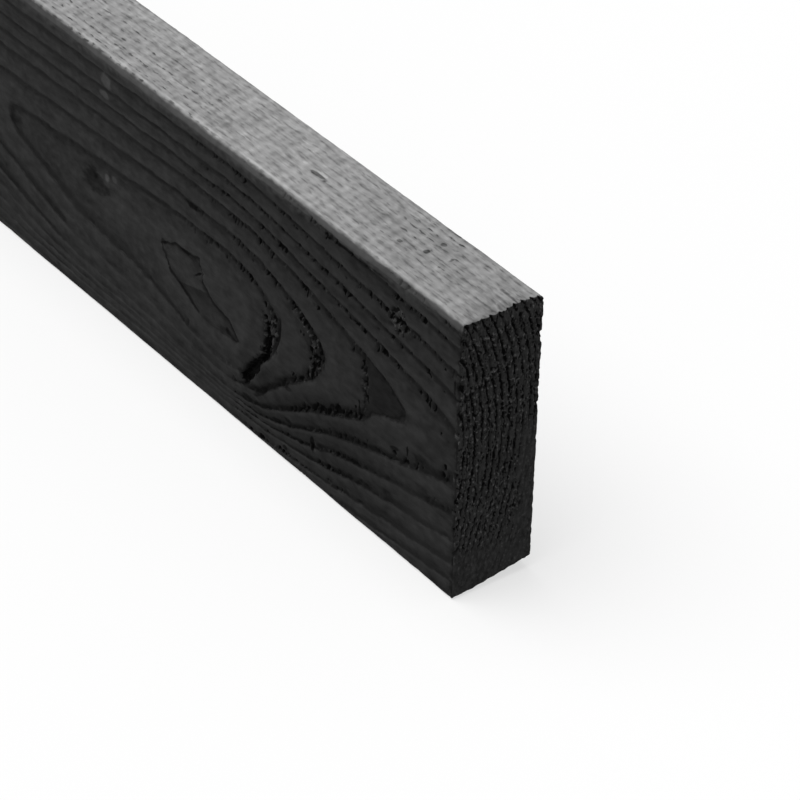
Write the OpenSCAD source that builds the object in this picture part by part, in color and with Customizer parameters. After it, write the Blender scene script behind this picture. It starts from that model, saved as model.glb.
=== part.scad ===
// Sawn softwood beam, stained black, one stick of stock lying on its narrow face.
// X runs along the beam, with the trimmed end at +X. The knotty wide face is at -Y,
// which is the side that lay towards the heart of the tree, and Z is up.
// The origin is on the underside, at the middle of the length and of the thickness.

/* [Section] */
// Thickness between the two wide faces
beam_thickness = 45; // [38:1:75]
// Depth between the two narrow faces
beam_depth = 145; // [115:1:225]

/* [Length] */
// Stock length, end to end
beam_length = 3000; // [1200:10:6000]

/* [Arrises] */
// Worn radius of the upper arris on the knotty face
upper_front_radius = 4; // [0.5:0.5:8]
// Worn radius of the upper arris on the back face
upper_back_radius = 2; // [0.5:0.5:8]
// Worn radius of the lower arris on the knotty face
lower_front_radius = 2; // [0.5:0.5:8]
// Worn radius of the lower arris on the back face
lower_back_radius = 3; // [0.5:0.5:8]

/* [Trimmed end] */
// How far short the cross cut runs at the back face
cut_skew = 1.6; // [0:0.1:6]
// Height at the back face of the wedge that split off the lower edge
split_height = 7; // [2:0.5:14]
// Length along the underside of that wedge
split_length = 12; // [3:0.5:40]
// Radius of the shell-shaped chip out of the upper edge
chip_radius = 30; // [15:1:60]
// Depth of the chip below the upper narrow face
chip_depth = 7; // [2:0.5:12]
// How far the chip reaches along the upper narrow face
chip_reach = 2; // [0.5:0.1:4]
// Distance of the chip's middle from the back face
chip_inset = 10; // [6:0.5:16]

/* [Burst knot] */
// Distance from the trimmed end to the middle of the ring that burst
ring_from_end = 178; // [100:1:300]
// Height of that middle above the underside
ring_height = 62; // [45:1:70]
// Radius of the ring that burst
ring_radius = 29; // [24:1:38]
// Width of the crack along the ring where it is widest
crack_width = 3; // [1:0.5:3.5]
// Depth of the crack below the face
crack_depth = 4; // [1:0.5:8]
// Angle from the crack's middle to either of its tips, around the ring
crack_half_angle = 36; // [32:1:60]
// Direction of the crack's middle from the middle of the ring, above the beam's length
crack_direction = -14; // [-40:1:40]
// Width of the hollow where the knot's heart fell out
hollow_width = 6; // [2:0.5:10]
// Length of that hollow, from the middle of one end to the middle of the other
hollow_length = 15; // [6:0.5:24]
// Slope of the hollow, above the beam's length
hollow_slope = 52; // [20:1:80]

/* [Hidden] */
$fn = 48;
stain_colour = [0.13, 0.13, 0.13];
trimmed_x = beam_length / 2;
front_y = -beam_thickness / 2;
back_y = beam_thickness / 2;
// Cutting pieces reach this far past the wood that they remove
spill = 1;

// The strip that wear takes off a square corner. The corner is at the 2D origin, and
// its wood lies in the first quadrant.
module arris_strip(radius) {
    difference() {
        translate([-spill, -spill]) square(radius + spill);
        translate([radius, radius]) circle(radius);
    }
}

// The beam's section, with 2D x across the thickness and 2D y up the depth
module section() {
    difference() {
        translate([front_y, 0]) square([beam_thickness, beam_depth]);
        translate([front_y, beam_depth]) mirror([0, 1]) arris_strip(upper_front_radius);
        translate([back_y, beam_depth]) rotate(180) arris_strip(upper_back_radius);
        translate([front_y, 0]) arris_strip(lower_front_radius);
        translate([back_y, 0]) mirror([1, 0]) arris_strip(lower_back_radius);
    }
}

module stick() {
    translate([-beam_length / 2, 0, 0])
        rotate([90, 0, 90])
            linear_extrude(beam_length) section();
}

// What the cross cut takes off. It leaves the knotty face at full length.
module cross_cut_waste() {
    short_x = trimmed_x - cut_skew;
    translate([0, 0, -spill])
        linear_extrude(beam_depth + 2 * spill)
            polygon([
                [trimmed_x, front_y],
                [short_x, back_y],
                [short_x, back_y + spill],
                [trimmed_x + spill, back_y + spill],
                [trimmed_x + spill, front_y]
            ]);
}

// A block on the plane through three points, on the side from which they run
// anticlockwise
module block_beyond(a, b, c, size) {
    normal = cross(b - a, c - a);
    translate(a)
        rotate([0, acos(normal.z / norm(normal)), atan2(normal.y, normal.x)])
            translate([-size / 2, -size / 2, 0]) cube(size);
}

// The wedge that split off the lower edge of the trimmed end
module split_waste() {
    short_x = trimmed_x - cut_skew;
    block_beyond(
        [trimmed_x, front_y, 0],
        [short_x - split_length, back_y, 0],
        [short_x, back_y, split_height],
        4 * beam_thickness
    );
}

// The shell-shaped chip out of the upper edge of the trimmed end. Its sphere passes
// through the point where the chip starts on the narrow face and the one where it
// leaves the end grain.
module chip_waste() {
    end_x = trimmed_x - cut_skew * (beam_thickness - chip_inset) / beam_thickness;
    half_chord = norm([chip_reach, chip_depth]) / 2;
    lean = atan2(chip_reach, chip_depth);
    stand_off = sqrt(chip_radius ^ 2 - half_chord ^ 2);
    translate([end_x - chip_reach / 2, back_y - chip_inset, beam_depth - chip_depth / 2])
        rotate([0, 90 - lean, 0])
            translate([0, 0, stand_off]) sphere(chip_radius);
}

// The crack's outline, a crescent between the ring and a flatter arc through its tips
module crack_outline() {
    inner_reach = ring_radius - crack_width;
    rise = inner_reach - ring_radius * cos(crack_half_angle);
    half_chord = ring_radius * sin(crack_half_angle);
    flat_radius = (rise ^ 2 + half_chord ^ 2) / (2 * rise);
    difference() {
        circle(ring_radius);
        translate([inner_reach - flat_radius, 0]) circle(flat_radius);
    }
}

// The crack along the burst ring, open at the knotty face
module crack_waste() {
    translate([trimmed_x - ring_from_end, front_y + crack_depth, ring_height])
        rotate([90, 0, 0])
            linear_extrude(crack_depth + spill)
                rotate(crack_direction) crack_outline();
}

// The half-round hollow that the knot's heart left, open at the knotty face. It runs
// down from the lower tip of the crack.
module hollow_waste() {
    tip_direction = crack_direction - crack_half_angle;
    translate([
        trimmed_x - ring_from_end + ring_radius * cos(tip_direction),
        front_y,
        ring_height + ring_radius * sin(tip_direction)
    ])
        rotate([0, 270 - hollow_slope, 0]) {
            sphere(d = hollow_width);
            cylinder(d = hollow_width, h = hollow_length);
            translate([0, 0, hollow_length]) sphere(d = hollow_width);
        }
}

module beam() {
    color(stain_colour)
        difference() {
            stick();
            cross_cut_waste();
            split_waste();
            chip_waste();
            crack_waste();
            hollow_waste();
        }
}

beam();
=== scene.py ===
"""Sawn softwood beam, stained black: its mesh, its finish and a plain stage to look at it on.

The beam lies along X with its trimmed end at +X. Its knotty wide face is at -Y, the side that lay
towards the heart of the tree, and Z is up. Rules for the wood count in millimetres: 'along' is the
distance from the trimmed end, 'height' is above the underside and 'behind' is behind the knotty face.
"""

import math
from collections import namedtuple

import bpy
from mathutils import Matrix, Vector


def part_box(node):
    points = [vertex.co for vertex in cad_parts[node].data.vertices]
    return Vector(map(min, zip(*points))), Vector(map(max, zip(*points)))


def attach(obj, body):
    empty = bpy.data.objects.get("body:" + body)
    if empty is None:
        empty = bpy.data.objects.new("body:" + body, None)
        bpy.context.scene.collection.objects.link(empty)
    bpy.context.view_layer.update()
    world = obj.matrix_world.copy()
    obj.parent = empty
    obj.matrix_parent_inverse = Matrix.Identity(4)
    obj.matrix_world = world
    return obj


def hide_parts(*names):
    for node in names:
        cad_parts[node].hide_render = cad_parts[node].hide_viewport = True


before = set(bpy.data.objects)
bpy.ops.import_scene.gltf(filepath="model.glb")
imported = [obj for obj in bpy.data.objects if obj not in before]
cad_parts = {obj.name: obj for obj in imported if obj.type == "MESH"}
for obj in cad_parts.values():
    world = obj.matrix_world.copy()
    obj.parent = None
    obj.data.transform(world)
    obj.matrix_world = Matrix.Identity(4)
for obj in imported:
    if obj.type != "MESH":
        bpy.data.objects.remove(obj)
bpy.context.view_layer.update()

bl_info = {
    "name": "Black stained beam",
    "version": (1, 0, 0),
    "blender": (4, 5, 0),
    "location": "3D View > Sidebar > Beam",
    "description": "Sawn softwood beam with a burst knot, a trimmed end and a black stain",
    "category": "Add Mesh",
}

MILLI = 1000.0
BEAM_LOW, BEAM_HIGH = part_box("beam")
# The beam's full size, in millimetres
LENGTH, THICKNESS, DEPTH = (side * MILLI for side in BEAM_HIGH - BEAM_LOW)
HALF_Y = THICKNESS / 2.0
HALF_Z = DEPTH / 2.0

Pull = namedtuple("Pull", "depth along height reach_along reach_below reach_above")
Spot = namedtuple("Spot", "along height half_length half_height tone lean", defaults=(0.0,))
Face = namedtuple("Face", "along height early ring knotty")
Noise = namedtuple("Noise", "soft blot year patch reach rough column fleck")
Zones = namedtuple("Zones", "fan faint lost flake worst heart near_end low_near far_loop low_far scuff")

# How the growth rings were laid down, in millimetres
PITH_AHEAD = 120.0
PITH_HEIGHT = 75.0
PITH_DRIFT = 0.35
TAPER_TO_END = (168.5, 0.048)
TAPER_AWAY = (227.4, 0.0083)
TAPER_BLEND = 27.0
KNOT_PULLS = (
    Pull(7.9, 181, 18.5, 69, 11.2, 31.2),
    Pull(6.5, 315, 16.3, 93, 11.6, 34.8),
    Pull(0.55, 124, 58, 20, 14, 18),
    Pull(0.55, 15, 80, 42, 20, 60),
    Pull(0.42, 392, 71, 45, 12, 12),
    Pull(-0.95, 398, 69, 15, 9, 9),
    Pull(-0.8, 56, 63, 14, 6, 7),
)
KNOT_DEPTH = 40.0
HEART_TIP = (241.5, 67.0)
HEART_WIDTH = 9.0
FIRST_RING = -0.41
RING_WIDTHS = (1.35, 2.0, 2.9, 2.55, 3.05, 3.75, 4.7)
LATER_WIDTH = 3.85

# Share of the lattice's cells that lie in the fine length
FINE_SHARE = 0.8

# Smudges, pale specks and dark stains on the knotty face. Tone is how much lighter they are.
SPOTS = (
    Spot(302, 71, 13, 6, -0.55),
    Spot(291, 77.5, 3.0, 3, 1.3),
    Spot(284, 80, 2.5, 2, 0.8),
    Spot(290, 132, 5, 3.5, 1.2),
    Spot(292, 124, 4, 2, 1.0),
    Spot(376, 70.5, 7, 5, -0.3),
    Spot(214, 99.5, 7, 1.6, -0.7),
    Spot(208.3, 65.3, 1.2, 2.6, -1.0, 1.3),
    Spot(221, 71.8, 4, 1.0, -0.6),
    Spot(209, 68.5, 5, 4, -0.3),
    Spot(239.5, 67.8, 2.6, 1.4, -0.7),
    Spot(196, 47, 2.5, 2.0, -0.3),
    Spot(183, 46, 2.0, 2.0, -0.3),
    Spot(185, 44, 9, 3.0, -0.3),
    Spot(154, 36, 9, 6, -0.2, 0.6),
    Spot(145, 66, 2.5, 7, 0.5, 0.1),
    Spot(170, 29, 5, 4, -0.35),
    Spot(204, 25, 10, 7, -0.13, 0.5),
    Spot(155, 27.5, 2.4, 5.5, -0.8, 0.95),
    Spot(141, 19, 4.0, 1.6, -0.8, 1.5),
    Spot(166, 19, 4.0, 1.3, -0.6),
    Spot(159, 11.8, 2.2, 1.3, -0.8),
    Spot(131, 24, 3.2, 1.3, -0.6),
    Spot(134, 7.5, 1.8, 1.8, -0.7),
    Spot(111.5, 22.0, 1.5, 5.0, -1.5),
    Spot(109.3, 22, 1.0, 3.5, 0.6),
    Spot(110.5, 43.5, 1.3, 2.2, -1.2, 0.4),
    Spot(100.5, 46, 1.2, 2.6, -1.2, 0.4),
    Spot(97, 49.5, 1.5, 3.0, -1.2, 0.4),
    Spot(92.5, 53, 1.2, 3.0, -1.2, 0.4),
    Spot(83, 52.5, 2.0, 1.3, -0.8),
    Spot(75, 62, 1.0, 4.5, -1.0),
    Spot(132, 41.5, 2.4, 1.6, -0.7, 1.0),
    Spot(37.3, 60.5, 0.9, 3.6, -1.0),
    Spot(47.5, 55.5, 2.6, 1.8, -0.7, 1.4),
    Spot(76, 31, 5, 1.3, -0.8),
    Spot(12, 43.0, 13, 3.4, -0.35),
    Spot(18, 60.5, 16, 3.2, -0.3, -3.0),
    Spot(69, 24, 6, 3.0, -0.25),
    Spot(52, 28.5, 7, 2.4, -0.25),
    Spot(20, 33, 26, 2.2, 0.2),
    Spot(84, 139.3, 27, 1.1, -0.9),
    Spot(37, 124, 6, 1.0, -0.7),
    Spot(4, 112, 0.7, 6, -0.6),
    Spot(80, 140, 2.5, 1.5, 0.7),
    Spot(28, 134, 3.0, 1.5, 0.6),
)
# The same on the upper narrow face, with the distance behind the knotty face for the height
TOP_SPOTS = (
    Spot(142, 21.5, 6.5, 1.1, -0.6),
    Spot(140, 23.8, 5, 1.1, 0.4),
    Spot(154.5, 22.7, 2.5, 1.3, 0.35),
    Spot(210, 11.5, 8, 6.0, -0.16),
    Spot(66, 26, 42, 14, -0.06),
    Spot(9, 29.6, 9, 1.7, 0.25),
    Spot(8, 31.6, 9, 0.7, -0.4),
    Spot(11, 18.5, 10, 0.7, -0.25),
    Spot(60, 33, 1.6, 1.3, -0.5),
    Spot(60, 23.3, 1.8, 1.5, -0.65),
    Spot(47.3, 28.3, 1.2, 1.9, -0.65),
    Spot(45.5, 19.7, 1.3, 1.4, -0.45),
    Spot(74, 18.7, 1.6, 1.1, -0.5),
)
# Along, height and reach of the torn wood over the small knot near the knotty face's upper edge
TORN_KNOT = (47.0, 123.0, 8.0)

# The position that a node group reads, and the names of the sizes that the groups share
PLACE = [("Place", "NodeSocketVector")]
RADII = ["Upper front radius", "Upper back radius", "Lower front radius", "Lower back radius"]
END_CUTS = ["Cut skew", "Split height", "Split length", "Chip radius", "Chip depth", "Chip reach",
            "Chip inset"]
BURST_SIZES = ["Ring from end", "Ring height", "Ring radius", "Crack depth", "Crack direction",
               "Crack half angle", "Hollow slope", "Hollow length", "Hollow width"]

# Marks of the frame saw on the narrow faces, in millimetres, and their lean off square
SAW_STEP = 6.95
SAW_LEAN = 0.21
# Every long face lies this far inside the full size, in millimetres
LEAST_RELIEF = 0.004
# Relief on the wide faces fades out from the first to the second, where the cells grow long
RELIEF_FADE = (400.0, 640.0)

# The stain's finish, and the stage's floor and lamp
STAIN_ROUGHNESS = 0.8
STAIN_GLOSS = 0.03
FLOOR_GREY = 0.25
FLOOR_GLOW = 0.3
LAMP_SPREAD = math.radians(60)
LAMP_TOWARDS = (-0.2, -0.3, 0.93)


class Value:
    """A number on its way through a node tree, so that a rule reads as arithmetic."""

    def __init__(self, tree, socket):
        self.tree = tree
        self.socket = socket

    def math(self, operation, *others, clamp=False):
        node = self.tree.nodes.new("ShaderNodeMath")
        node.operation = operation
        node.use_clamp = clamp
        for socket, value in zip(node.inputs, (self, *others)):
            plug(value, socket)
        return Value(self.tree, node.outputs[0])

    def __add__(self, other):
        return self.math("ADD", other)

    def __sub__(self, other):
        return self.math("SUBTRACT", other)

    def __rsub__(self, other):
        return self.math("MULTIPLY_ADD", -1.0, other)

    def __mul__(self, other):
        return self.math("MULTIPLY", other)

    def __truediv__(self, other):
        return self.math("DIVIDE", other)

    def __neg__(self):
        return self * -1.0


def plug(value, socket):
    """Feeds a socket from a Value, or sets it to a plain number or name."""
    if isinstance(value, Value):
        value.tree.links.new(value.socket, socket)
    else:
        socket.default_value = value


def least(a, *others):
    for other in others:
        a = a.math("MINIMUM", other)
    return a


def most(a, *others):
    for other in others:
        a = a.math("MAXIMUM", other)
    return a


def size_of(a):
    return a.math("ABSOLUTE")


def root(a):
    return a.math("SQRT")


def square(a):
    return a * a


def share_left(a):
    """What is left of a number above the whole number below it."""
    return a.math("FRACT")


def above(a, limit):
    """1 where a is over the limit, and 0 elsewhere."""
    return a.math("GREATER_THAN", limit)


def ramp(a, start, end):
    """0 before start, 1 past end, with a soft curve between. It falls where start is past end."""
    node = a.tree.nodes.new("ShaderNodeMapRange")
    node.interpolation_type = "SMOOTHSTEP"
    for socket, value in zip(node.inputs, (a, start, end, 0.0, 1.0)):
        plug(value, socket)
    return Value(a.tree, node.outputs[0])


def band(a, centre, reach):
    """1 at the centre and 0 further off than reach."""
    return ramp(size_of(a - centre), reach, 0.0)


def between(a, start, end, soft):
    """1 from start to end, with soft edges outside them."""
    return ramp(a, start - soft, start) * ramp(a, end + soft, end)


def less(a, share=1.0):
    """1 where a is 0, and lower by that share of a elsewhere."""
    return 1.0 - a * share


def blend(a, b, share):
    """a where share is 0 and b where it is 1."""
    return share * (b - a) + a


def bell(a, centre, reach):
    """exp(-((a - centre) / reach)^2)"""
    return (-square((a - centre) / reach)).math("EXPONENT")


def vector(*parts):
    tree = parts[0].tree
    node = tree.nodes.new("ShaderNodeCombineXYZ")
    for socket, value in zip(node.inputs, parts):
        plug(value, socket)
    return Value(tree, node.outputs[0])


def parts_of(value):
    node = value.tree.nodes.new("ShaderNodeSeparateXYZ")
    plug(value, node.inputs[0])
    return [Value(value.tree, output) for output in node.outputs]


def grainy(parts, sizes, detail=2.0, roughness=0.5, seed=0.0):
    """Noise around 0.5 whose blots have the given sizes along the parts, and 1 along the last."""
    scaled = [part / size + seed for part, size in zip(parts, (*sizes, 1.0))]
    tree = parts[0].tree
    node = tree.nodes.new("ShaderNodeTexNoise")
    plug(vector(*scaled), node.inputs["Vector"])
    node.inputs["Scale"].default_value = 1.0
    node.inputs["Detail"].default_value = detail
    node.inputs["Roughness"].default_value = roughness
    return Value(tree, node.outputs[0])


def floats(names):
    """Sockets for numbers with the given names."""
    return [(name, "NodeSocketFloat") for name in names]


def open_group(name, kind, inputs, outputs):
    """A new node group with its sockets, as the tree, its inputs by name and its output node."""
    tree = bpy.data.node_groups.new(name, kind)
    for socket_name, socket_kind in inputs:
        tree.interface.new_socket(socket_name, in_out="INPUT", socket_type=socket_kind)
    for socket_name, socket_kind in outputs:
        tree.interface.new_socket(socket_name, in_out="OUTPUT", socket_type=socket_kind)
    source = tree.nodes.new("NodeGroupInput")
    given = {name: Value(tree, source.outputs[name]) for name, _ in inputs}
    return tree, given, tree.nodes.new("NodeGroupOutput")


def close_group(tree, output, results):
    for name, value in results.items():
        plug(value, output.inputs[name])
    arrange(tree)
    return tree


def arrange(tree):
    """Lays a tree's nodes out in columns, in the order in which they were made."""
    rows = 12
    for index, node in enumerate(tree.nodes):
        node.location = (200 * (index // rows), -220 * (index % rows))


def use_group(tree, make_group, values):
    """Places a group of the tree's own kind in a tree and returns its outputs by name."""
    node = tree.nodes.new(tree.bl_idname.replace("Tree", "Group"))
    node.node_tree = make_group(tree.bl_idname)
    for name, value in values.items():
        plug(value, node.inputs[name])
    return {output.name: Value(tree, output) for output in node.outputs}


def picked(values, names):
    """The values that have the given names."""
    return {name: values[name] for name in names}


# ------------------------ the tree that the beam came from


def wood_place(position):
    """A position in metres as along, height and behind, in millimetres."""
    x, y, z = parts_of(position)
    along = (BEAM_HIGH.x - x) * MILLI
    height = (z - BEAM_LOW.z) * MILLI
    behind = (y - BEAM_LOW.y) * MILLI
    return along, height, behind


def knot_pull(along, height, pull):
    """How far a knot pulls the rings round it."""
    reach_up = blend(pull.reach_below, pull.reach_above, above(height, pull.height))
    return bell(along, pull.along, pull.reach_along) * bell(height, pull.height, reach_up) * pull.depth


def heart_outline(along, height):
    """Distance outside the outline of the burst knot's heart, in millimetres. It is negative inside."""
    tip_along, tip_height = HEART_TIP
    back = tip_along - along
    roof = least(back * 0.47 + tip_height, back * 0.09 + 71.5)
    beyond = least(most(94.5 - back * 0.84, 67.6 - back * 0.23), 114.0 - back)
    roof = blend(roof, beyond, ramp(along, 208.0, 205.0))
    floor = most(55.8 - back * 0.4, 42.5, tip_height - back * 1.9)
    return most(height - roof, floor - height, 173.5 - along)


def growth_ring_group(kind):
    """Node group that counts the tree's rings at a point.

    Ring is the count, whose whole numbers are the dark late wood. Early is the share of the way from
    one dark line to the next.
    """
    tree, given, output = open_group("growth rings", kind, PLACE, floats(["Ring", "Early"]))
    along, height, behind = wood_place(given["Place"])
    # Relief on the wide faces leaves the rings there as they lie on the flat face
    ahead_of_back = THICKNESS - behind
    behind = behind * ramp(behind, 0.0, 7.0)
    behind = behind + ahead_of_back * ramp(ahead_of_back, 5.0, 0.0)
    sizes = (18.0, 9.0, 9.0)
    sway = grainy((along, height, behind), sizes, 4.0, 0.6) - 0.5
    slip = grainy((along, height, behind), sizes, 3.0, 0.6, seed=9.0) - 0.5
    height = height + sway * (ramp(along, 420.0, 1200.0) * 8.0 + 3.6)
    behind_swayed = behind + sway * ramp(behind, 0.0, 6.0) * 2.5
    along = along + slip * 5.0
    to_end = TAPER_TO_END[0] - along
    away = along - TAPER_AWAY[0]
    ahead = (
        to_end.math("SMOOTH_MAX", 0.0, TAPER_BLEND) * TAPER_TO_END[1]
        + away.math("SMOOTH_MAX", 0.0, TAPER_BLEND) * TAPER_AWAY[1]
        + behind_swayed
        + PITH_AHEAD
    )
    aside = height - PITH_HEIGHT - behind * PITH_DRIFT
    depth = root(square(aside) + square(ahead)) - PITH_AHEAD - FIRST_RING
    for pull in KNOT_PULLS:
        depth = depth - knot_pull(along, height, pull) * ramp(behind, KNOT_DEPTH, 0.0)
    # The outline of the burst knot's heart takes the place of the first ring
    heart = heart_outline(along + slip * 9.0, height + slip * 5.0) + most(size_of(behind) - 20.0, 0.0)
    ring = most(least(heart / HEART_WIDTH, 0.0), -0.8)
    depth = most(depth, 0.1)
    reached = 0.0
    for width in RING_WIDTHS:
        ring = ring + ((depth - reached) / width).math("ADD", 0.0, clamp=True)
        reached += width
    ring = ring + most(depth - reached, 0.0) / LATER_WIDTH
    return close_group(tree, output, {"Ring": ring, "Early": share_left(ring)})


# ------------------------ the surfaces' own rules


def late_wood(early, breadth):
    """1 on the dark line between two rings. It comes up slowly and ends at a sharp edge."""
    rise = ramp(early, less(breadth), less(breadth, 0.35))
    return rise * ramp(early, 1.0, 0.985) + ramp(early, 0.05, 0.0) * 0.6


def arris_radius(along, at_back, at_top, given):
    """Worn radius of the nearest arris, which wanders along the beam, in millimetres."""
    low = blend(given["Lower front radius"], given["Lower back radius"], at_back)
    high = blend(given["Upper front radius"], given["Upper back radius"], at_back)
    radius = blend(low, high, at_top) * MILLI
    wander = grainy((along, at_back * 7.0, at_top * 7.0), (34.0, 1.0), 3.0) - 0.5
    return radius * (wander * 0.8 + 1.0)


def section_group(kind):
    """Node group that says where a point lies in the beam's section.

    Skin is its depth below the worn section in millimetres. Narrow is 1 on the narrow faces and
    falls over the arrises to 0 on the wide faces.
    """
    inputs = PLACE + floats(RADII)
    tree, given, output = open_group("beam section", kind, inputs, floats(["Skin", "Narrow"]))
    along, height, behind = wood_place(given["Place"])
    y = behind - HALF_Y
    z = height - HALF_Z
    radius = arris_radius(along, above(y, 0.0), above(z, 0.0), given)
    out_y = most(size_of(y) - HALF_Y + radius, 0.0)
    out_z = most(size_of(z) - HALF_Z + radius, 0.0)
    out = root(square(out_y) + square(out_z))
    ragged = (grainy((along, height, behind), (9.0, 3.0, 3.0), 3.0, 0.6, seed=3.0) - 0.5) * 0.4
    upright = out_z / out
    upright = upright + ragged * ramp(upright, 1.0, 0.85)
    # Narrow lays on the pale grey painted for the overhead light, fading as the arris turns away from that
    # light
    narrow = ramp(upright, 0.66, 0.98) * 0.9 + ramp(upright, 0.05, 0.3) * 0.1
    return close_group(tree, output, {"Skin": radius - out, "Narrow": narrow})


def trimmed_end_group(kind):
    """Node group for how far the trimmed end lies short of full length, in millimetres."""
    tree, given, output = open_group("trimmed end", kind, PLACE + floats(END_CUTS), floats(["Short"]))
    _, height, behind = wood_place(given["Place"])
    skew = given["Cut skew"] * MILLI
    plane = behind / THICKNESS * skew
    # The split's plane runs through the knotty face's lower corner, the underside and the back face
    split = behind / THICKNESS - height / (given["Split height"] * MILLI)
    split = split * given["Split length"] * MILLI
    # The shell chip is a dish of a sphere
    radius = given["Chip radius"] * MILLI
    reach = given["Chip reach"] * MILLI
    depth = given["Chip depth"] * MILLI
    inset = given["Chip inset"] * MILLI
    chord = root(square(reach) + square(depth))
    stand_off = root(square(radius) - square(chord) / 4.0)
    centre_out = stand_off * depth / chord - reach / 2.0
    centre_height = stand_off * reach / chord - depth / 2.0 + DEPTH
    across = behind - THICKNESS + inset
    dish = root(most(square(radius) - square(across) - square(height - centre_height), 0.0))
    end_at_chip = skew - skew * inset / THICKNESS
    chip = dish - centre_out + end_at_chip
    return close_group(tree, output, {"Short": most(plane, plane + split, chip)})


def burst_place(along, height, given):
    """A place seen from the middle of the ring that burst.

    The steps towards the trimmed end and up from there, and the distance outside the ring, are in
    millimetres. The angle round the ring is in degrees.
    """
    right = given["Ring from end"] * MILLI - along
    up = height - given["Ring height"] * MILLI
    off_ring = root(square(right) + square(up)) - given["Ring radius"] * MILLI
    return right, up, off_ring, up.math("ARCTAN2", right) * (180.0 / math.pi)


def burst_ring(along, height, given):
    """Depth of the crack and the hollow where a ring burst round the knot, in millimetres."""
    right, up, off_ring, angle = burst_place(along, height, given)
    ragged = (grainy((along, height, 0.0), (2.0, 2.0)) - 0.5) * 4.0
    radius = given["Ring radius"] * MILLI
    depth = given["Crack depth"] * MILLI
    gape = bell(angle, -16.0, 16.0) * 1.6
    crack = band(off_ring + ragged - gape * 0.5 + 1.0, 0.0, gape + 2.2)
    crack = crack * between(angle, -54.0, 18.0, 4.0)
    # The hollow runs down from the crack's lower tip
    tip = given["Crack direction"] - given["Crack half angle"]
    slope = given["Hollow slope"]
    from_x = right - radius * tip.math("COSINE")
    from_z = up - radius * tip.math("SINE")
    reach_down = -(from_x * slope.math("COSINE") + from_z * slope.math("SINE"))
    held = least(most(reach_down, 0.0), given["Hollow length"] * MILLI)
    off_x = from_x + held * slope.math("COSINE")
    off_z = from_z + held * slope.math("SINE")
    off = root(square(off_x) + square(off_z)) + ragged * 1.2
    half_width = given["Hollow width"] * MILLI / 2.0
    hollow = ramp(off, half_width + 0.9, half_width - 1.4) * 0.9
    return most(crack, hollow) * depth


def spot_tone(across, up, spots, ragged):
    """How much the spots lighten a face at a place on it."""
    tone = 0.0
    for spot in spots:
        leaning = across - spot.along + (up - spot.height) * spot.lean
        off = square(leaning / spot.half_length) + square((up - spot.height) / spot.half_height)
        tone = ramp(root(off) + ragged, 1.2, 0.6) * spot.tone + tone
    return tone


def wide_face_noise(face):
    """Noise of several sizes on a wide face, some of it around 0 and the rest around 0.5."""
    level = face.knotty * 3.0
    here = (face.along, face.height, level)
    leaning = (face.along + face.height * 0.2, face.height, level)
    return Noise(
        soft=grainy(here, (11.0, 5.0), 3.0, 0.55, seed=2.0) - 0.5,
        blot=grainy(here, (5.0, 4.0), 1.0, seed=17.0) - 0.5,
        year=grainy((face.along, face.ring, level), (38.0, 0.42), 2.0, seed=12.0) - 0.5,
        patch=grainy(here, (9.0, 7.0), 1.0, seed=7.0),
        reach=grainy(here, (5.0, 5.0), 0.0, seed=21.0),
        rough=grainy(leaning, (3.0, 3.8), 1.0, seed=4.0),
        column=grainy(leaning, (2.5, 14.0), 1.0, seed=14.0),
        fleck=grainy(leaning, (1.7, 2.8), 1.0, seed=11.0),
    )


def wide_face_zones(face, noise):
    """Zones of a wide face where its lines and tears differ from the rest, each from 0 to 1."""
    along, height, _, ring, knotty = face
    # The rings crowd together under the burst knot and fan out towards the trimmed end
    fan = ramp(along, 178.0, 166.0) * ramp(along, 25.0, 95.0)
    fan = fan * ramp(height - (72.0 - along * 0.2), 8.0, -4.0) * ramp(height, 8.0, 18.0)
    # Lines are faint low down past the burst knot, and one is lost under the knot's heart
    faint = between(along, 182.0, 325.0, 8.0) * ramp(height - along * 0.1, 9.5, 5.0)
    faint = faint + ramp(along, 340.0, 380.0) * ramp(height, 28.0, 22.0)
    lost = between(ring, 0.5, 1.5, 0.2) * between(along, 172.0, 212.0, 6.0) * ramp(height, 40.0, 36.0)
    # A flake came off the tip of the fourth ring
    flake = ramp(along + noise.soft * 8.0, 73.0, 72.0) * between(ring, 2.0, 3.0, 0.01)
    flake = flake * ramp(along, 25.0, 35.0) * ramp(height, 100.0, 92.0) * ramp(height, 55.0, 62.0)
    # The second ring is torn worst
    worst = bell(along, 117.0, 18.0) * bell(height, 76.0, 20.0) * between(ring, 1.3, 2.0, 0.1)
    return Zones(
        fan=fan,
        faint=faint,
        lost=lost,
        flake=flake * knotty,
        worst=worst,
        heart=ramp(ring, 0.0, -0.01),
        near_end=ramp(along, 250.0, 160.0),
        low_near=ramp(along, 110.0, 60.0) * ramp(height, 52.0, 40.0),
        far_loop=ramp(along, 290.0, 345.0) * bell(height, 68.0, 18.0),
        low_far=ramp(along, 322.0, 345.0) * bell(height, 36.0, 10.0),
        scuff=ramp(along + noise.soft * 5.0, 3.5, 1.5),
    )


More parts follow.
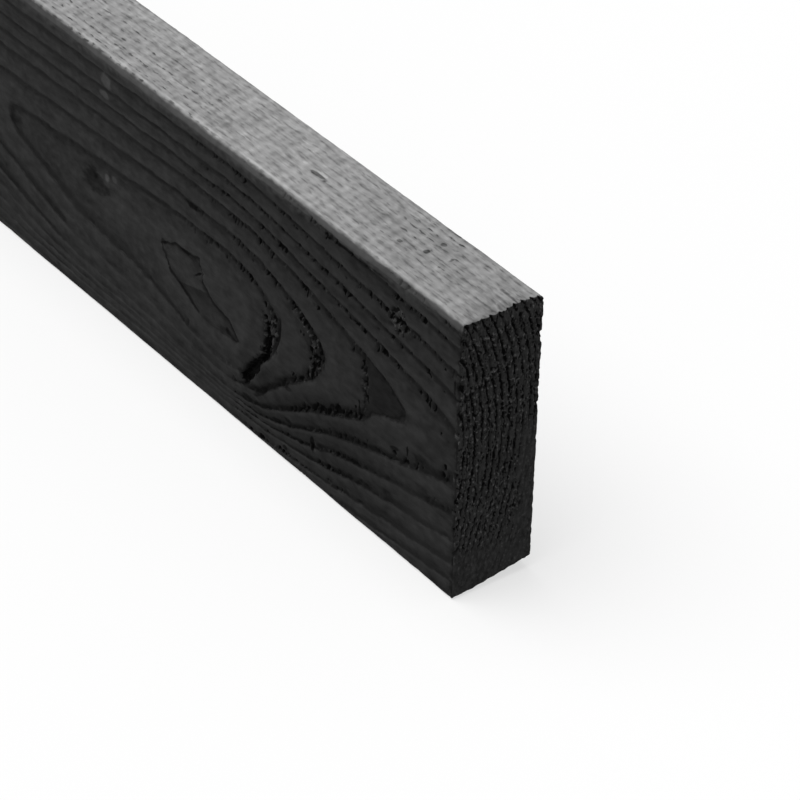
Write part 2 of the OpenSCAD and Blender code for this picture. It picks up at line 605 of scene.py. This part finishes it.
def dark_lines(face, noise, zone):
    """The dark lines of late wood on a wide face, and the soft shade beside them."""
    along, height, early, _, _ = face
    breadth = zone.fan * 0.14 + noise.patch * 0.25 + zone.heart * 0.05 + zone.low_far * 0.15
    breadth = most(breadth - zone.far_loop * 0.14 - zone.flake * 0.3 + 0.2, 0.06)
    strength = zone.fan * 0.45 + zone.worst * 0.4 + zone.heart * 0.5 + 0.72
    strength = strength + noise.year * 1.9 + noise.soft * 1.8 + noise.blot * (zone.fan * 3.0 + 1.2)
    strength = strength + (zone.far_loop + zone.low_far) * 0.3 - ramp(along, 170.0, 270.0) * 0.2
    # The heart's outline gives out along its lower side
    under = ramp(height - along * 0.27, -3.5, -5.5) * ramp(along, 211.0, 206.0)
    strength = strength - (zone.heart * under + zone.lost) * 2.0
    strength = strength - zone.faint * 0.9 - zone.low_near * 0.35
    uneven = early + (noise.rough - 0.5) * zone.near_end * 0.12 + noise.blot * 0.1
    line = late_wood(uneven, breadth) * least(most(strength, 0.0), 1.0)
    return line, late_wood(early, breadth + 0.35) * 0.2


def torn_wood(face, noise, zone, given):
    """Where fibres tore out of a wide face, painted dark for the shade in the tears, and where they stand
    up beside that, painted pale as highlights.
    """
    along, height, early, _, knotty = face
    # Short tears across the grain, on the inner side of the dark lines
    thick = bell(along, 92.0, 26.0) * bell(height, 50.0, 12.0)
    held = zone.near_end * ramp(along, 4.0, 9.0) * ramp(noise.patch + thick * 0.08, 0.44, 0.52)
    held = held * less(zone.low_near, 0.95) * less(zone.heart) * less(zone.flake)
    held = held * less(ramp(along, 120.0, 140.0) * zone.fan, 0.8) * less(least(zone.faint, 1.0))
    ticks = ramp(early + noise.reach * 0.75, 1.08, 1.12) * ramp(early, 1.0, 0.99)
    ticks = ticks * ramp(noise.column, 0.52, 0.56) * held * less(zone.lost)

    # Wider tears along the second ring, on both sides of the crack, over the small knot near the
    # upper edge, where the flake came off and along the cut
    _, _, off_ring, turn = burst_place(along, height, given)
    knot_along, knot_height, knot_reach = TORN_KNOT
    off_knot = root(square((along - knot_along) / 1.1) + square(height - knot_height))
    tears = most(
        between(early, 0.72, 0.995, 0.06) * ramp(zone.worst, 0.25, 0.5),
        band(off_ring, -2.5, 3.0) * between(turn, -38.0, 20.0, 8.0) * 0.9,
        between(off_ring, 2.0, 7.5, 1.0) * between(turn, -8.0, 24.0, 6.0) * 0.8,
        ramp(off_knot + noise.soft * 8.0, knot_reach, knot_reach * 0.7),
        band(along + noise.soft * 8.0, 71.5, 3.4) * bell(height, 74.0, 15.0),
        zone.scuff * 0.35,
    ) * ramp(along, 0.8, 1.6) * knotty

    # A splinter lies along the crack
    splinter = band(off_ring - (turn + 20.0) * 0.2 - 3.4 + noise.soft * 4.0, 0.0, 1.7)
    splinter = splinter * between(turn, -34.0, 18.0, 4.0)
    # Painted shade and highlights: the tears are painted dark and the fibres standing up beside them pale
    torn = most(ramp(noise.rough, 0.52, 0.56) * tears, most(ticks, splinter * 0.85) * knotty)
    pale = ramp(noise.fleck, 0.55, 0.64) * most(tears, held * ramp(early, 0.7, 0.85) * 0.5 * knotty)
    return torn, pale * less(torn)


def wide_face_group(kind):
    """Node group for a wide face, whose Knotty input is 1 on the knotty face and 0 on the back.

    Depth is the relief below the face in millimetres. Tone, around 1, is how light the stain is, with
    painted shade in the tears, the crack and the hollow and painted highlights on the raised fibres.
    """
    inputs = PLACE + floats(["Early", "Ring", "Knotty"] + BURST_SIZES)
    tree, given, output = open_group("wide face", kind, inputs, floats(["Depth", "Tone"]))
    along, height, _ = wood_place(given["Place"])
    early = given["Early"]
    knotty = given["Knotty"]
    face = Face(along, height, early, given["Ring"], knotty)
    noise = wide_face_noise(face)
    zone = wide_face_zones(face, noise)
    line, shade = dark_lines(face, noise, zone)
    torn, pale = torn_wood(face, noise, zone, given)
    burst = burst_ring(along, height, given) * knotty
    # Wear has greyed the upper edge of the knotty face
    worn = ramp(height + noise.blot * 6.0, 138.0, 142.0) * knotty
    # A smudge lies across the heart, darkest under its sharp upper border
    lid = height + along * 0.243 - 107.2 + noise.blot * 1.5
    smudge = ramp(lid, 0.4, -0.4) * ramp(lid, -10.0, -1.0) * between(along, 201.0, 229.0, 3.0)

    tone = noise.soft * 1.3 + noise.blot * 0.7 + noise.year * 0.7 + 1.0 - shade
    tone = tone + spot_tone(along, height, SPOTS, noise.soft * 2.0) * knotty
    tone = tone * less(smudge * zone.heart * knotty, 0.48)
    tone = tone * less(ramp(along, 300.0, 110.0) * knotty, 0.16)
    tone = tone * less(line * (zone.fan * 0.2 + 0.66)) * less(zone.flake, 0.45) * less(zone.scuff, 0.3)
    # Painted shade: the tears and the burst ring's crack and hollow are painted nearly black
    tone = tone * less(torn, 0.97) * less(ramp(burst, 0.3, 1.6), 0.97) * less(zone.fan, 0.22)
    # Painted highlights: the fibres that stand up are painted pale
    tone = tone + pale + ramp(early, 0.0, 0.08) * ramp(early, 0.32, 0.1) * 0.16 + worn * 0.65
    depth = line * 0.3 + ramp(early, 0.15, 1.0) * 0.15 + torn * 1.2 - pale * 0.3 + zone.flake * 0.6
    depth = most(depth + burst + (noise.soft + noise.blot) * 0.5, 0.0) + 0.03
    return close_group(tree, output, {"Depth": depth, "Tone": most(tone, 0.03)})


def end_grain_group(kind):
    """Node group for a cross-cut end: the depth of its torn early wood in millimetres, and its tone, which
    paints the light and shade on that relief.
    """
    inputs = PLACE + floats(["Early"])
    tree, given, output = open_group("end grain", kind, inputs, floats(["Depth", "Tone"]))
    _, height, behind = wood_place(given["Place"])
    here = (height, behind, 0.0)
    gap = grainy(here, (12.0, 3.0), 2.0, 0.6, seed=1.0)
    fray = grainy(here, (2.8, 1.0), 2.0, 0.7, seed=6.0)
    speck = grainy(here, (1.9, 1.3), 1.0, seed=8.0)
    blot = grainy(here, (12.0, 7.0), seed=5.0)
    mottle = grainy(here, (3.6, 2.6), seed=13.0) - 0.5
    edge = ramp(behind + (blot - 0.5) * 16.0, 33.0, 37.0)
    edge = edge * ramp(height, 88.0, 74.0) * ramp(height, 14.0, 22.0)
    foot = ramp(height + (blot - 0.5) * 30.0, 34.0, 16.0)
    low = ramp(height, 66.0, 36.0)
    smooth = most(edge, foot, ramp(blot, 0.6, 0.68) * 0.8)
    rough = less(smooth, 0.85)
    bold = ramp(height, 88.0, 112.0) * ramp(behind, 36.0, 24.0)
    breadth = bold * 0.03 - low * 0.05 + 0.2
    tooth = (fray - 0.5) * (0.7 - low * 0.35)
    groove = band(given["Early"] + tooth, 0.48, breadth) * ramp(gap + bold * 0.06, 0.41, 0.45)
    groove = least(groove * rough * 1.5, 1.0)

    # A ragged check runs across the rings at two thirds of the height, and a fainter one near the top
    sway = grainy(here, (50.0, 2.4), 1.0, seed=3.0) - 0.5
    check = height - 106.0 - behind * 0.4 + sway * 9.0
    held = between(behind, 3.0, 34.0, 3.0)
    # Painted light and shade: the check's lip is painted pale as a highlight and the check itself dark as
    # shade
    lip = band(check, 0.8, 1.3) * held * ramp(speck, 0.56, 0.44)
    split = band(check, -1.1, 1.3) * held * ramp(speck, 0.4, 0.5)
    upper = band(height - 132.0 - behind * 0.12 + sway * 7.0, 0.0, 1.3) * between(behind, 4.0, 22.0, 3.0)
    lip = most(lip, upper * ramp(speck, 0.56, 0.44) * 0.8)

    # Painted shade and light: darker in the frayed fibres, the grooves, the pits and the check, lighter on
    # pale specks and the check's lip
    tone = (fray - 0.5) * -2.2 * rough + (blot - 0.5) * 0.6 + mottle * (smooth * 1.5 + 0.6) + 1.14
    tone = tone * less(groove, 0.97) * less(ramp(speck, 0.6, 0.66) * (rough + 0.25), 0.85)
    tone = tone * less(split, 0.8) + ramp(speck, 0.38, 0.32) * (rough + 0.3) * 1.6 + lip * 1.4
    depth = groove * 1.3 + ramp(fray, 0.4, 0.72) * rough * (0.7 - low * 0.35) + split * 0.5
    return close_group(tree, output, {"Depth": depth, "Tone": most(tone, 0.06)})


def narrow_face_group(kind):
    """Node group for the sawn narrow faces.

    Depth is the relief below the face in millimetres. Tone, around 1, scales the pale grey painted on
    these faces for the overhead light and sheen, and is lighter where the relief stands up.
    """
    inputs = PLACE + floats(["Early"])
    tree, given, output = open_group("narrow face", kind, inputs, floats(["Depth", "Tone"]))
    along, height, behind = wood_place(given["Place"])
    side = above(height, HALF_Z) * 5.0
    here = (along, behind, side)
    soft = grainy(here, (13.0, 6.0), seed=1.0) - 0.5
    pillow = grainy(here, (4.6, 3.0), 1.0, seed=4.0) - 0.5
    gap = grainy(here, (6.0, 2.2), 2.0, 0.6, seed=6.0)
    streak = grainy(here, (13.0, 1.4), 2.0, 0.6, seed=9.0) - 0.5
    upper = above(side, 1.0)

    # The saw's teeth left a low ridge at every step, a little off square, and soft wood between
    # the rings stands up in pillows there
    stroke = (along - behind * SAW_LEAN) / SAW_STEP + soft * 0.9
    ridge = (stroke * math.tau).math("SINE") * (ramp(gap, 0.25, 0.6) * 0.7 + 0.4)
    swell = -(given["Early"] * math.tau).math("COSINE")
    near = ramp(along, 150.0, 90.0)
    early = given["Early"] + pillow * 0.25
    line = late_wood(early, 0.24) * ramp(gap - ridge * 0.07, 0.5, 0.6)
    seam = late_wood(early, 0.4) * (0.8 - ridge * 0.2)
    torn = bell(along, 66.0, 26.0) * ramp(behind + soft * 20.0, 14.0, 24.0)
    far = ramp(along, 190.0, 250.0) * ramp(behind, 40.0, 18.0)
    line = line * (torn * 0.9 + far * 0.8 + 0.35) * least(soft * 3.0 + 1.0, 1.3)
    crease = ramp(streak, -0.1, -0.2)
    quilt = (ridge + 1.0) * swell * (near * 0.5 + 0.5)
    # Painted light: ridges, pillows and streaks that stand up are painted lighter and creases darker, as
    # the overhead light falls on them
    tone = ridge * 0.065 + pillow * 0.5 + soft + streak * 0.5 + quilt * 0.03 - crease * 0.1 + 1.04
    tone = tone - seam * (gap * 0.45 - 0.08)
    tone = tone + band(behind, 3.3, 1.2) * ramp(along, 10.0, 40.0) * 0.25 - far * 0.06
    tone = tone + spot_tone(along, behind, TOP_SPOTS, soft * 1.2 + pillow * 2.0) * upper
    tone = tone * less(line, 0.5) * less(ramp(along, 150.0, 60.0) * upper, 0.13)
    depth = crease * 0.3 - ridge * 0.08 - pillow * 0.6 - streak * 0.4
    return close_group(tree, output, {"Depth": depth, "Tone": most(tone, 0.15)})


# ------------------------ the beam's mesh


def beam_tree(material):
    """Geometry nodes that make the beam from a fine lattice, with every cut taken inwards."""
    counts = ["Cells along", "Cells across", "Cells up"]
    inputs = floats(RADII + END_CUTS + BURST_SIZES + ["Fine length"])
    inputs += [(name, "NodeSocketInt") for name in counts]
    outputs = [("Geometry", "NodeSocketGeometry")]
    tree, given, output = open_group("sawn beam", "GeometryNodeTree", inputs, outputs)
    lattice = tree.nodes.new("GeometryNodeMeshCube")
    for name, count in zip(("Vertices X", "Vertices Y", "Vertices Z"), counts):
        plug(given[count] + 1.0, lattice.inputs[name])
    corner = Value(tree, tree.nodes.new("GeometryNodeInputPosition").outputs[0])
    cube_x, cube_y, cube_z = parts_of(corner)

    # Along the beam the cells are fine near the trimmed end and long past that
    share = 0.5 - cube_x
    fine_rate = given["Fine length"] * MILLI / FINE_SHARE
    along = share * fine_rate + ramp(share, FINE_SHARE, 1.0) * (LENGTH - fine_rate)

    # Across it the corners are rounded, each by its own worn radius
    y = cube_y * THICKNESS
    z = cube_z * DEPTH
    at_back = above(y, 0.0)
    at_top = above(z, 0.0)
    radius = arris_radius(along, at_back, at_top, given)
    core_y = HALF_Y - radius
    core_z = HALF_Z - radius
    out_y = most(size_of(y) - core_y, 0.0)
    out_z = most(size_of(z) - core_z, 0.0)
    out = most(out_y, out_z)
    corner_reach = root(square(out_y) + square(out_z))
    turn_y = out_y / corner_reach
    turn_z = out_z / corner_reach

    def section_place(kept):
        """The lattice point in the section, as height and behind, with that share of its way out."""
        new_y = (least(size_of(y), core_y) + turn_y * out * kept) * (at_back * 2.0 - 1.0)
        new_z = (least(size_of(z), core_z) + turn_z * out * kept) * (at_top * 2.0 - 1.0)
        return new_z + HALF_Z, new_y + HALF_Y

    height, behind = section_place(1.0)
    place = beam_place(along, height, behind)
    rings = use_group(tree, growth_ring_group, {"Place": place})
    values = {"Place": place, **rings, "Knotty": less(at_back), **picked(given, BURST_SIZES)}
    wide = use_group(tree, wide_face_group, values)
    relief = wide["Depth"] * square(turn_y) * ramp(along, RELIEF_FADE[1], RELIEF_FADE[0])
    height, behind = section_place(less((relief + LEAST_RELIEF) / radius))

    # The end grain and the cuts at the trimmed end slide the lattice along
    place = beam_place(along, height, behind)
    values = {"Place": place, **picked(given, END_CUTS)}
    cut = use_group(tree, trimmed_end_group, values)
    rings = use_group(tree, growth_ring_group, {"Place": place})
    values = {"Place": place, "Early": rings["Early"]}
    grain = use_group(tree, end_grain_group, values)
    corner = most(ramp(height, 2.2, 0.0), ramp(behind, 1.8, 0.0) * 0.5)
    shift = cut["Short"] * ramp(along, 45.0, 0.0) + (grain["Depth"] + corner) * ramp(along, 7.0, 0.0)
    far_shift = (grain["Depth"] * 0.5 + 0.03) * ramp(along, LENGTH - 40.0, LENGTH)
    final = beam_place(along + shift - far_shift, height, behind)

    moved = tree.nodes.new("GeometryNodeSetPosition")
    tree.links.new(lattice.outputs["Mesh"], moved.inputs["Geometry"])
    plug(final, moved.inputs["Position"])
    smooth = tree.nodes.new("GeometryNodeSetShadeSmooth")
    tree.links.new(moved.outputs[0], smooth.inputs["Geometry"])
    real = tree.nodes.new("GeometryNodeRealizeInstances")
    tree.links.new(smooth.outputs[0], real.inputs["Geometry"])
    painted = tree.nodes.new("GeometryNodeSetMaterial")
    painted.inputs["Material"].default_value = material
    tree.links.new(real.outputs[0], painted.inputs["Geometry"])
    tree.links.new(painted.outputs[0], output.inputs["Geometry"])
    arrange(tree)
    return tree


def beam_place(along, height, behind):
    """A position in metres from along, height and behind, in millimetres."""
    return vector(
        BEAM_HIGH.x - along * (1.0 / MILLI),
        behind / MILLI + BEAM_LOW.y,
        height / MILLI + BEAM_LOW.z,
    )


def set_inputs(modifier, settings):
    """Sets a geometry modifier's inputs from the properties with their names."""
    for item in modifier.node_group.interface.items_tree:
        if item.item_type == "SOCKET" and item.in_out == "INPUT":
            modifier[item.identifier] = getattr(settings, setting_name(item.name))


def plain_mesh(maker, name):
    """Turns what an object's modifiers make into a new plain mesh object, and removes the maker."""
    bpy.context.view_layer.update()
    evaluated = maker.evaluated_get(bpy.context.evaluated_depsgraph_get())
    mesh = bpy.data.meshes.new_from_object(evaluated)
    mesh.name = name
    piece = bpy.data.objects.new(name, mesh)
    bpy.context.scene.collection.objects.link(piece)
    bpy.data.objects.remove(maker)
    return piece


# ------------------------ finishes


def fibre_group(kind):
    """Node group for fine fibres and broad streaks that run along the beam, both around 0.5."""
    tree, given, output = open_group("fibres", kind, PLACE, floats(["Fine", "Streak"]))
    along, height, behind = wood_place(given["Place"])
    fine = grainy((along, height, behind), (9.0, 0.45, 0.45), 3.0, 0.6)
    streak = grainy((along, height, behind), (40.0, 2.6, 2.6), 3.0, 0.55, seed=5.0)
    return close_group(tree, output, {"Fine": fine, "Streak": streak})


def stained_wood(colours, shape):
    """The beam's finish: black stain, with the sawn narrow faces painted pale grey for the overhead light
    and sheen on them.
    """
    material = bpy.data.materials.new("black_stained_wood")
    material.use_nodes = True
    tree = material.node_tree
    shader = tree.nodes["Principled BSDF"]
    place = Value(tree, tree.nodes.new("ShaderNodeTexCoord").outputs["Object"])
    along, _, behind = wood_place(place)

    given = {name: getattr(shape, setting_name(name)) for name in RADII + END_CUTS + BURST_SIZES}
    rings = use_group(tree, growth_ring_group, {"Place": place})
    fibres = use_group(tree, fibre_group, {"Place": place})
    section = use_group(tree, section_group, {"Place": place, **picked(given, RADII)})
    cut = use_group(tree, trimmed_end_group, {"Place": place, **picked(given, END_CUTS)})
    grown = {"Place": place, "Early": rings["Early"]}
    sawn = use_group(tree, narrow_face_group, grown)
    grain = use_group(tree, end_grain_group, grown)
    knotty = ramp(behind, 25.0, 20.0)
    values = {"Place": place, **rings, "Knotty": knotty, **picked(given, BURST_SIZES)}
    wide = use_group(tree, wide_face_group, values)

    narrow = section["Narrow"]
    end = most(ramp(along - cut["Short"], 3.4, 3.0), ramp(along, LENGTH - 2.0, LENGTH - 1.6))
    end = end * ramp(section["Skin"], 0.2, 0.6)
    wide_tone = wide["Tone"] * ((fibres["Fine"] - 0.5) * 0.3 + (fibres["Streak"] - 0.5) * 0.25 + 1.0)
    narrow_painted_light_tone = sawn["Tone"] * ((fibres["Fine"] - 0.5) * 0.35 + 1.0)

    # The narrow faces' colour is painted light: pale grey for the overhead light and sheen on them
    wide_colour = tinted(colours.wide_face, wide_tone)
    narrow_painted_light_colour = tinted(colours.narrow_face, narrow_painted_light_tone)
    end_colour = tinted(colours.end_grain, grain["Tone"])
    colour = mixed(mixed(wide_colour, narrow_painted_light_colour, narrow), end_colour, end)
    plug(colour, shader.inputs["Base Color"])
    shader.inputs["Roughness"].default_value = STAIN_ROUGHNESS
    shader.inputs["Specular IOR Level"].default_value = STAIN_GLOSS

    relief = fibres["Fine"] * 0.12 - sawn["Depth"] * narrow
    bump = tree.nodes.new("ShaderNodeBump")
    bump.inputs["Strength"].default_value = 1.0
    bump.inputs["Distance"].default_value = 1.0 / MILLI
    plug(relief, bump.inputs["Height"])
    tree.links.new(bump.outputs["Normal"], shader.inputs["Normal"])
    arrange(tree)
    return material


def tinted(colour, tone):
    """A colour made lighter or darker by a tone around 1."""
    node = tone.tree.nodes.new("ShaderNodeVectorMath")
    node.operation = "SCALE"
    node.inputs[0].default_value = colour[:3]
    plug(tone, node.inputs["Scale"])
    return Value(tone.tree, node.outputs[0])


def mixed(a, b, share):
    """Colour a where share is 0 and colour b where it is 1."""
    node = share.tree.nodes.new("ShaderNodeMix")
    node.data_type = "VECTOR"
    vectors = [socket for socket in node.inputs if socket.type == "VECTOR" and socket.enabled]
    factors = [socket for socket in node.inputs if socket.type == "VALUE" and socket.enabled]
    plug(share, factors[0])
    plug(a, vectors[0])
    plug(b, vectors[1])
    outputs = [socket for socket in node.outputs if socket.enabled]
    return Value(share.tree, outputs[0])


# ------------------------ stage


def floor_material(full_light):
    """A pale floor that looks white where no shadow falls on it, and is clear from below."""
    material = bpy.data.materials.new("pale_floor")
    material.use_nodes = True
    tree = material.node_tree
    shader = tree.nodes["Principled BSDF"]
    shader.inputs["Base Color"].default_value = (FLOOR_GREY, FLOOR_GREY, FLOOR_GREY, 1.0)
    shader.inputs["Roughness"].default_value = 1.0
    shader.inputs["Specular IOR Level"].default_value = 0.0
    shader.inputs["Emission Color"].default_value = (1.0, 1.0, 1.0, 1.0)
    seen = seen_by_eye(tree)
    glow = seen * (1.0 - FLOOR_GREY * full_light - FLOOR_GLOW) + FLOOR_GLOW
    plug(glow, shader.inputs["Emission Strength"])
    clear = tree.nodes.new("ShaderNodeBsdfTransparent")
    geometry = tree.nodes.new("ShaderNodeNewGeometry")
    mix = tree.nodes.new("ShaderNodeMixShader")
    tree.links.new(geometry.outputs["Backfacing"], mix.inputs[0])
    tree.links.new(shader.outputs[0], mix.inputs[1])
    tree.links.new(clear.outputs[0], mix.inputs[2])
    tree.links.new(mix.outputs[0], tree.nodes["Material Output"].inputs["Surface"])
    arrange(tree)
    return material


def seen_by_eye(tree):
    """1 for rays from the camera, in mirrors and through glass."""
    path = tree.nodes.new("ShaderNodeLightPath")
    rays = [Value(tree, path.outputs[name]) for name in
            ("Is Camera Ray", "Is Glossy Ray", "Is Transmission Ray")]
    return most(*rays)


def make_world(strength):
    """An even pale sky that looks white, and lights the beam at the given strength."""
    world = bpy.data.worlds.new("pale_sky")
    world.use_nodes = True
    tree = world.node_tree
    background = tree.nodes["Background"]
    background.inputs["Color"].default_value = (1.0, 1.0, 1.0, 1.0)
    plug(seen_by_eye(tree) * (1.0 - strength) + strength, background.inputs["Strength"])
    arrange(tree)
    return world


def make_lamp(strength):
    """A broad lamp nearly overhead."""
    data = bpy.data.lights.new("overhead_lamp", "SUN")
    data.energy = strength
    data.angle = LAMP_SPREAD
    lamp = bpy.data.objects.new("overhead_lamp", data)
    lamp.rotation_mode = "QUATERNION"
    lamp.rotation_quaternion = Vector(LAMP_TOWARDS).to_track_quat("Z", "Y")
    bpy.context.scene.collection.objects.link(lamp)
    return lamp


def make_camera(view):
    """A long lens that looks down on the trimmed end from the knotty side."""
    azimuth = view.azimuth
    elevation = view.elevation
    back = Vector((
        math.sin(azimuth) * math.cos(elevation),
        -math.cos(azimuth) * math.cos(elevation),
        math.sin(elevation),
    ))
    level = (-back).cross(Vector((0, 0, 1))).normalized()
    upright = level.cross(-back)
    right = math.cos(view.roll) * level + math.sin(view.roll) * upright
    up = back.cross(right)
    end_middle = Vector((BEAM_HIGH.x, (BEAM_LOW.y + BEAM_HIGH.y) / 2, (BEAM_LOW.z + BEAM_HIGH.z) / 2))
    data = bpy.data.cameras.new("camera")
    data.sensor_width = 36.0
    data.lens = view.lens
    camera = bpy.data.objects.new("camera", data)
    turn = Matrix((right, up, back)).transposed().to_4x4()
    spot = end_middle + back * view.distance + right * view.move_right + up * view.move_up
    camera.matrix_world = Matrix.Translation(spot) @ turn
    bpy.context.scene.collection.objects.link(camera)
    bpy.context.scene.camera = camera
    return camera


# ------------------------ settings


def length_setting(name, description, default):
    return bpy.props.FloatProperty(name=name, description=description, default=default, unit="LENGTH",
                                   precision=4)


def angle_setting(name, description, degrees):
    return bpy.props.FloatProperty(name=name, description=description, default=math.radians(degrees),
                                   subtype="ANGLE")


def number_setting(name, description, default):
    return bpy.props.FloatProperty(name=name, description=description, default=default)


def count_setting(name, description, default):
    return bpy.props.IntProperty(name=name, description=description, default=default)


def setting_name(name):
    """The property that holds the size with this name in the node groups."""
    return name.lower().replace(" ", "_")


class BeamShape(bpy.types.PropertyGroup):
    """Sizes of the beam's worn arrises and of what its trimmed end lost."""

    upper_front_radius: length_setting("Upper front radius", "Wear of the upper arris, knotty side", 0.004)
    upper_back_radius: length_setting("Upper back radius", "Wear of the upper arris, back side", 0.002)
    lower_front_radius: length_setting("Lower front radius", "Wear of the lower arris, knotty side", 0.002)
    lower_back_radius: length_setting("Lower back radius", "Wear of the lower arris, back side", 0.003)
    cut_skew: length_setting("Cut skew", "How far short the cross cut runs at the back face", 0.0016)
    split_height: length_setting("Split height", "Height of the wedge that split off", 0.007)
    split_length: length_setting("Split length", "Length of that wedge along the underside", 0.012)
    chip_radius: length_setting("Chip radius", "Radius of the shell-shaped chip", 0.03)
    chip_depth: length_setting("Chip depth", "Depth of the chip below the upper face", 0.007)
    chip_reach: length_setting("Chip reach", "Reach of the chip along the upper face", 0.002)
    chip_inset: length_setting("Chip inset", "Chip's middle from the back face", 0.01)
    ring_from_end: length_setting("Ring from end", "Burst ring's middle from the trimmed end", 0.178)
    ring_height: length_setting("Ring height", "Height of the burst ring's middle", 0.062)
    ring_radius: length_setting("Ring radius", "Radius of the burst ring", 0.029)
    crack_depth: length_setting("Crack depth", "Depth of the crack below the knotty face", 0.004)
    crack_direction: angle_setting("Crack direction", "Crack's middle from the ring's middle", -14)
    crack_half_angle: angle_setting("Crack half angle", "Crack's middle to its tips, round the ring", 36)
    hollow_slope: angle_setting("Hollow slope", "Slope of the hollow above the beam's length", 52)
    hollow_length: length_setting("Hollow length", "Length of the hollow", 0.015)
    hollow_width: length_setting("Hollow width", "Width of the hollow", 0.006)
    fine_length: length_setting("Fine length", "Length with fine cells, from the trimmed end", 0.43)
    cells_along: count_setting("Cells along", "Cells along the beam", 560)
    cells_across: count_setting("Cells across", "Cells across the beam", 50)
    cells_up: count_setting("Cells up", "Cells up the beam", 155)
    triangle_limit: count_setting("Triangle limit", "Most triangles to keep", 190000)


def colour_setting(name, description, grey):
    return bpy.props.FloatVectorProperty(name=name, description=description, subtype="COLOR", size=3,
                                         min=0.0, max=1.0, default=(grey, grey, grey))


class StainColours(bpy.types.PropertyGroup):
    """Colours of the stain on the wide faces and the end grain, and the pale grey painted on the narrow
    faces for the overhead light and sheen.
    """

    wide_face: colour_setting("Wide face", "Stain on the wide faces", 0.0235)
    narrow_face: colour_setting("Narrow face", "Pale grey painted on the sawn narrow faces for the overhead light and sheen", 0.21)
    end_grain: colour_setting("End grain", "Stain soaked into the end grain", 0.022)


class StageView(bpy.types.PropertyGroup):
    """The strength of the lamp and the sky, and the camera's place."""

    azimuth: angle_setting("Azimuth", "Camera's turn round the beam", 53.66)
    elevation: angle_setting("Elevation", "Camera's height as an angle", 32.93)
    roll: angle_setting("Roll", "Camera's tilt about its line of sight", 1.85)
    lens: number_setting("Lens", "Focal length in millimetres", 179.4)
    distance: length_setting("Distance", "Camera's distance from the middle of the trimmed end", 1.76105)
    move_right: length_setting("Move right", "Camera's step to its right", -0.04344)
    move_up: length_setting("Move up", "Camera's step up its own frame", 0.02264)
    sun: number_setting("Sun", "Strength of the broad overhead lamp", 3.6)
    sky: number_setting("Sky", "Strength of the even sky", 0.45)


# ------------------------ operators


class BEAM_OT_stick(bpy.types.Operator):
    """Make the beam, one stick of sawn and stained softwood"""

    bl_idname = "beam.stick"
    bl_label = "Beam"

    def execute(self, context):
        shape = context.scene.beam_shape
        material = stained_wood(context.scene.stain_colours, shape)
        maker = bpy.data.objects.new("beam_maker", bpy.data.meshes.new("beam_maker"))
        context.scene.collection.objects.link(maker)
        modifier = maker.modifiers.new("sawn beam", "NODES")
        modifier.node_group = beam_tree(material)
        set_inputs(modifier, shape)
        cells = 2 * (shape.cells_along * shape.cells_across
                     + shape.cells_along * shape.cells_up
                     + shape.cells_across * shape.cells_up)
        thin = maker.modifiers.new("thin", "DECIMATE")
        thin.ratio = min(1.0, shape.triangle_limit / (2 * cells))
        piece = plain_mesh(maker, "beam_stick")
        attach(piece, "root")
        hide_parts("beam")
        return {"FINISHED"}


class BEAM_OT_stage(bpy.types.Operator):
    """Make the pale floor, the broad lamp, the sky and the camera"""

    bl_idname = "beam.stage"
    bl_label = "Stage"

    def execute(self, context):
        view = context.scene.stage_view
        mesh = bpy.data.meshes.new("floor")
        reach = 10 * (BEAM_HIGH.x - BEAM_LOW.x)
        corners = [(-reach, -reach, 0), (reach, -reach, 0), (reach, reach, 0), (-reach, reach, 0)]
        mesh.from_pydata(corners, [], [(0, 1, 2, 3)])
        floor = bpy.data.objects.new("floor", mesh)
        context.scene.collection.objects.link(floor)
        lamp = make_lamp(view.sun)
        tilt = (lamp.matrix_basis.to_quaternion() @ Vector((0, 0, 1))).z
        mesh.materials.append(floor_material(view.sun / math.pi * tilt + view.sky))
        context.scene.world = make_world(view.sky)
        make_camera(view)
        context.scene.view_settings.view_transform = "Standard"
        return {"FINISHED"}


class BEAM_PT_panel(bpy.types.Panel):
    """Buttons for the beam and its stage, with their settings"""

    bl_idname = "BEAM_PT_panel"
    bl_label = "Black stained beam"
    bl_space_type = "VIEW_3D"
    bl_region_type = "UI"
    bl_category = "Beam"

    def draw(self, context):
        for operator, settings in ((BEAM_OT_stick, "beam_shape"), (None, "stain_colours"),
                                   (BEAM_OT_stage, "stage_view")):
            box = self.layout.box()
            group = getattr(context.scene, settings)
            for name in group.bl_rna.properties.keys():
                if name not in ("rna_type", "name"):
                    box.prop(group, name)
            if operator:
                box.operator(operator.bl_idname)


SETTINGS = (("beam_shape", BeamShape), ("stain_colours", StainColours), ("stage_view", StageView))
CLASSES = (BeamShape, StainColours, StageView, BEAM_OT_stick, BEAM_OT_stage, BEAM_PT_panel)


def register():
    for item in CLASSES:
        bpy.utils.register_class(item)
    for name, group in SETTINGS:
        setattr(bpy.types.Scene, name, bpy.props.PointerProperty(type=group))


def unregister():
    for name, _ in SETTINGS:
        delattr(bpy.types.Scene, name)
    for item in reversed(CLASSES):
        bpy.utils.unregister_class(item)


def main():
    register()
    bpy.ops.beam.stick()
    bpy.ops.beam.stage()


if __name__ == "__main__":
    main()
